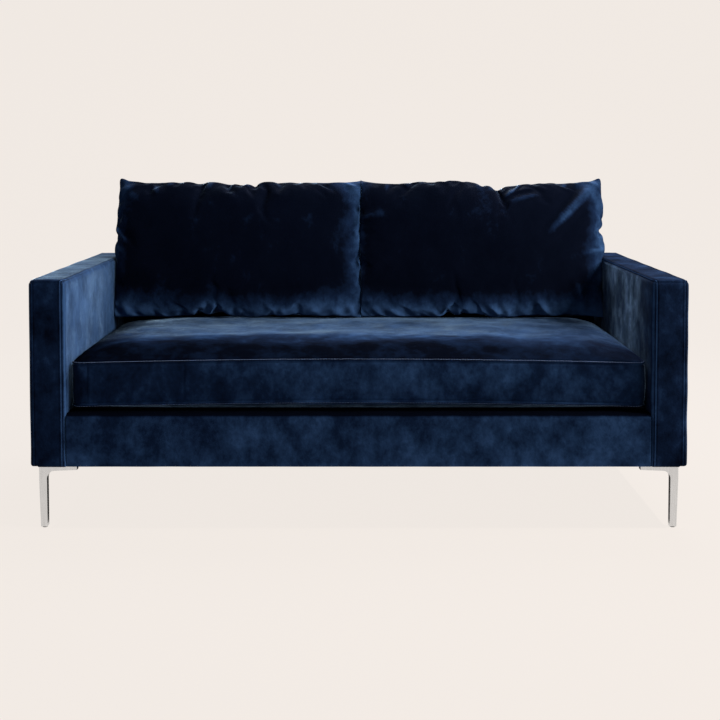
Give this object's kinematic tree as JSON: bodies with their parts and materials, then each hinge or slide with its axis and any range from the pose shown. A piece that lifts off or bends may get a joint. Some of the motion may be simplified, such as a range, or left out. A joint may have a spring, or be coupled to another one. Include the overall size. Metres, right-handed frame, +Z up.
{
  "type": "sofa",
  "caption": "Low square track-arm sofa with a loose bench seat cushion, loose leaning back cushions and L-shaped metal legs.",
  "frame": {"origin": "on the floor at the middle of the footprint", "axes": "+X across the sofa to the right as seen from its front, +Y from its front to its back, +Z up from the floor"},
  "size_m": [1.68, 0.84, 0.8805],
  "materials": {
    "velvet": "navy blue short-pile velvet",
    "leg_metal": "pale satin nickel plate on steel",
    "glide_nylon": "black nylon",
    "zinc_steel": "bright zinc plate",
    "spring_steel": "oiled spring steel wire",
    "dust_cloth": "black spun-bonded polypropylene",
    "deck_cloth": "navy woven lining cloth",
    "webbing": "natural elastic webbing with a dark stripe",
    "foam": "cream polyurethane foam",
    "fibre": "white polyester fibre",
    "zip_chain": "navy polyester tape with a nylon coil",
    "zip_slider": "gunmetal zinc alloy",
    "hardboard": "brown hardboard",
    "frame_timber": "sawn pine and laminated board"
  },
  "bodies": {
    "sofa_frame": {"back_centre_post": "frame_timber", "back_inner_cover": "velvet", "back_left_leg": "leg_metal", "back_outer_panel": "hardboard", "back_padding": "fibre", "back_rail": "frame_timber", "back_right_leg": "leg_metal", "back_tack_rail": "frame_timber", "back_top_rail": "frame_timber", "back_webbing": "webbing", "deck_cloth": "deck_cloth", "deck_pad": "fibre", "dust_cover": "dust_cloth", "floor_glides": "glide_nylon", "frame_bolts": "zinc_steel", "front_left_leg": "leg_metal", "front_rail": "frame_timber", "front_rail_cover": "velvet", "front_rail_padding": "fibre", "front_right_leg": "leg_metal", "left_arm_back_post": "frame_timber", "left_arm_cover": "velvet", "left_arm_front_post": "frame_timber", "left_arm_inner_panel": "hardboard", "left_arm_middle_post": "frame_timber", "left_arm_outer_panel": "hardboard", "left_arm_padding": "fibre", "left_arm_top_rail": "frame_timber", "left_back_end_post": "frame_timber", "left_side_rail": "frame_timber", "leg_blocks": "frame_timber", "leg_screws": "zinc_steel", "outside_back_cover": "velvet", "right_arm_back_post": "frame_timber", "right_arm_cover": "velvet", "right_arm_front_post": "frame_timber", "right_arm_inner_panel": "hardboard", "right_arm_middle_post": "frame_timber", "right_arm_outer_panel": "hardboard", "right_arm_padding": "fibre", "right_arm_top_rail": "frame_timber", "right_back_end_post": "frame_timber", "right_side_rail": "frame_timber", "seat_springs": "spring_steel", "seat_stretcher": "frame_timber", "spring_clips": "zinc_steel", "tie_wires": "spring_steel"},
    "seat_cushion": {"seat_cushion_cover": "velvet", "seat_fibre_wrap": "fibre", "seat_foam_core": "foam", "seat_zip_chain": "zip_chain"},
    "seat_zip_slider": {"seat_zip_slider": "zip_slider"},
    "left_back_cushion": {"left_back_cushion_cover": "velvet", "left_back_cushion_insert": "fibre", "left_back_zip_chain": "zip_chain"},
    "left_back_zip_slider": {"left_back_zip_slider": "zip_slider"},
    "right_back_cushion": {"right_back_cushion_cover": "velvet", "right_back_cushion_insert": "fibre", "right_back_zip_chain": "zip_chain"},
    "right_back_zip_slider": {"right_back_zip_slider": "zip_slider"}
  },
  "joints": [
    {"name": "seat_cushion_slide", "type": "slide", "parent": "sofa_frame", "child": "seat_cushion", "axis": [0, -1, 0], "range_m": [0, 0.72]},
    {"name": "left_back_cushion_lift", "type": "slide", "parent": "sofa_frame", "child": "left_back_cushion", "axis": [0, 0, 1], "range_m": [0, 0.3]},
    {"name": "right_back_cushion_lift", "type": "slide", "parent": "sofa_frame", "child": "right_back_cushion", "axis": [0, 0, 1], "range_m": [0, 0.3]},
    {"name": "seat_zip_slide", "type": "slide", "parent": "seat_cushion", "child": "seat_zip_slider", "axis": [1, 0, 0], "range_m": [0, 1.16]},
    {"name": "left_back_zip_slide", "type": "slide", "parent": "left_back_cushion", "child": "left_back_zip_slider", "axis": [1, 0, 0], "range_m": [0, 0.536]},
    {"name": "right_back_zip_slide", "type": "slide", "parent": "right_back_cushion", "child": "right_back_zip_slider", "axis": [1, 0, 0], "range_m": [0, 0.536]}
  ]
}
